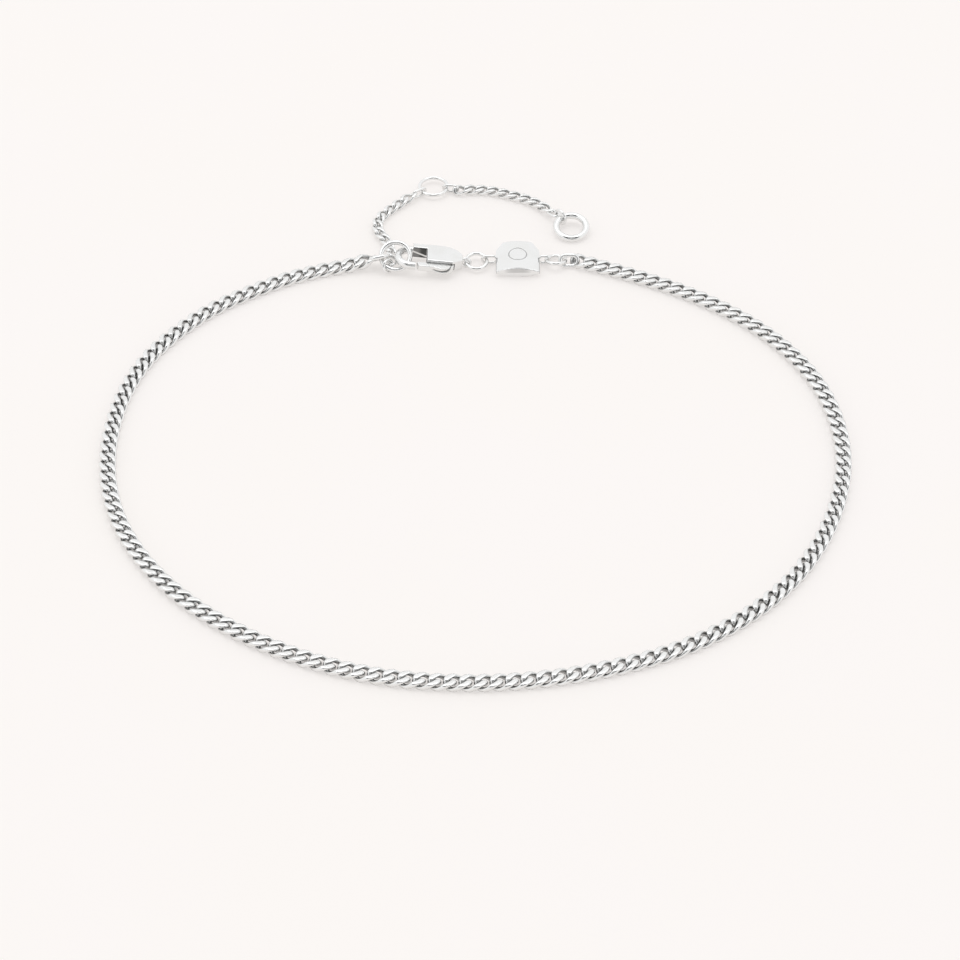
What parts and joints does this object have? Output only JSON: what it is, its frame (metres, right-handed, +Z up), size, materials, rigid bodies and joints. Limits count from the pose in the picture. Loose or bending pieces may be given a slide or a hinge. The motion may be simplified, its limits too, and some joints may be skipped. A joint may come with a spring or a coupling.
{
  "type": "chain anklet",
  "caption": "Silver-coloured curb chain anklet, a whole loop closed by a lobster clasp, with a small domed tag and a finer extension chain ending in a ring.",
  "frame": {"origin": "middle of the laid-out anklet's box, on the surface that it lies on", "axes": "+Z up from that surface; +Y away from the wearer's near side of the loop to the clasp, tag and extension; +X to the right, from the clasp to the tag"},
  "size_m": [0.0897, 0.0909, 0.0029],
  "materials": {
    "chain": "polished silver curb links",
    "rings": "polished silver wire",
    "clasp": "polished cast silver with softly rounded edges",
    "tag": "polished silver sheet with fine handling marks"
  },
  "bodies": {
    "anklet": {"main_chain": "chain", "chain_link_at_clasp": "chain", "chain_link_at_tag": "chain", "extension_chain_first": "chain", "extension_chain_second": "chain", "fine_link_at_clasp": "chain", "fine_link_before_middle": "chain", "fine_link_after_middle": "chain", "fine_link_at_end": "chain", "clasp_ring": "rings", "extension_joining_ring": "rings", "middle_ring": "rings", "end_joining_ring": "rings", "end_ring": "rings", "clasp_link_ring": "rings", "tag_ring": "rings", "clasp_body": "clasp", "tag": "tag"},
    "lever": {"clasp_lever": "clasp"}
  },
  "joints": [
    {"name": "clasp_lever_hinge", "type": "hinge", "parent": "anklet", "child": "lever", "pos_m": [-0.00384, 0.02668, 0.00113], "axis": [-0.108, -0.0693, -0.9917], "range_deg": [0, 30], "stiffness_Nm_per_rad": 0.001, "springref_deg": -17.19}
  ]
}
